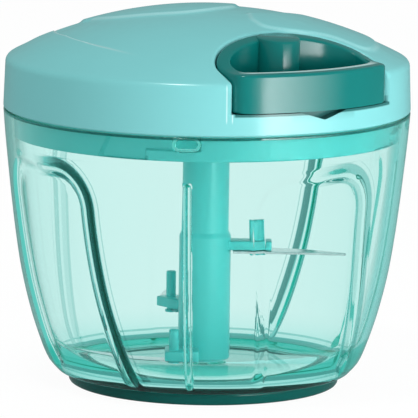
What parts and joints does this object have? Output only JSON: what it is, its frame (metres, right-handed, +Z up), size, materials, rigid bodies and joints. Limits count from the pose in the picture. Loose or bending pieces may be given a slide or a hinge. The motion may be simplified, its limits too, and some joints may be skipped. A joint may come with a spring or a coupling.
{
  "type": "pull-string food chopper",
  "caption": "Manual food chopper: clear round bowl, bladed column, and a domed twist-lock lid with a cord-pull finger loop set into its edge.",
  "frame": {"origin": "centre of the foot ring's underside", "axes": "+Z up along the bowl's and column's axis; -Y towards the front, so the finger loop points to the front right, 34 degrees from -Y towards +X"},
  "size_m": [0.132, 0.132, 0.1232],
  "materials": {
    "bowl_clear": "clear mint plastic",
    "dark_teal": "glossy",
    "mid_teal": "satin",
    "light_teal": "glossy",
    "inner_plastic": "plain moulded",
    "blade_steel": "polished",
    "steel": "bright",
    "silicone": "soft",
    "cord": "braided"
  },
  "bodies": {
    "bowl": {"bowl": "bowl_clear", "base_ring": "dark_teal", "pivot_pin": "steel"},
    "blades": {"blade_holder": "mid_teal", "blade_upper": "blade_steel", "blade_middle": "blade_steel", "blade_lower": "blade_steel"},
    "seal": {"lid_seal": "silicone"},
    "lid": {"lid_cover": "light_teal", "lid_base": "mid_teal", "reel_cover": "inner_plastic", "recoil_spring": "steel", "reel_axle": "steel", "cord_guide": "steel", "cord_lead": "cord", "reel_cover_screw_1": "steel", "reel_cover_screw_2": "steel", "reel_cover_screw_3": "steel", "lid_screw_1": "steel", "lid_screw_2": "steel", "lid_screw_3": "steel", "lid_screw_4": "steel"},
    "reel": {"cord_reel": "inner_plastic", "cord_winding": "cord", "drive_socket": "inner_plastic", "socket_screw": "steel"},
    "handle": {"pull_handle": "dark_teal", "cord_knot": "cord", "pull_cord": "cord"}
  },
  "joints": [
    {"name": "lid_lift", "type": "slide", "parent": "bowl", "child": "seal", "axis": [0, 0, 1], "range_m": [0, 0.07]},
    {"name": "lid_twist", "type": "hinge", "parent": "seal", "child": "lid", "pos_m": [0, 0, 0.0917], "axis": [0, 0, 1], "range_deg": [0, 18]},
    {"name": "handle_pull", "type": "slide", "parent": "lid", "child": "handle", "axis": [0.565, -0.8251, 0], "range_m": [0, 0.45], "stiffness_N_per_m": 6, "springref_m": -0.35},
    {"name": "reel_spin", "type": "hinge", "parent": "lid", "child": "reel", "pos_m": [0, 0, 0.1], "axis": [0, 0, 1], "continuous": true},
    {"name": "blade_spin", "type": "hinge", "parent": "bowl", "child": "blades", "pos_m": [0, 0, 0.01], "axis": [0, 0, 1], "continuous": true}
  ],
  "couplings": [
    {"joint": "reel_spin", "follows": "handle_pull", "rad_per_m": 55.556},
    {"joint": "blade_spin", "follows": "handle_pull", "rad_per_m": 55.556}
  ]
}
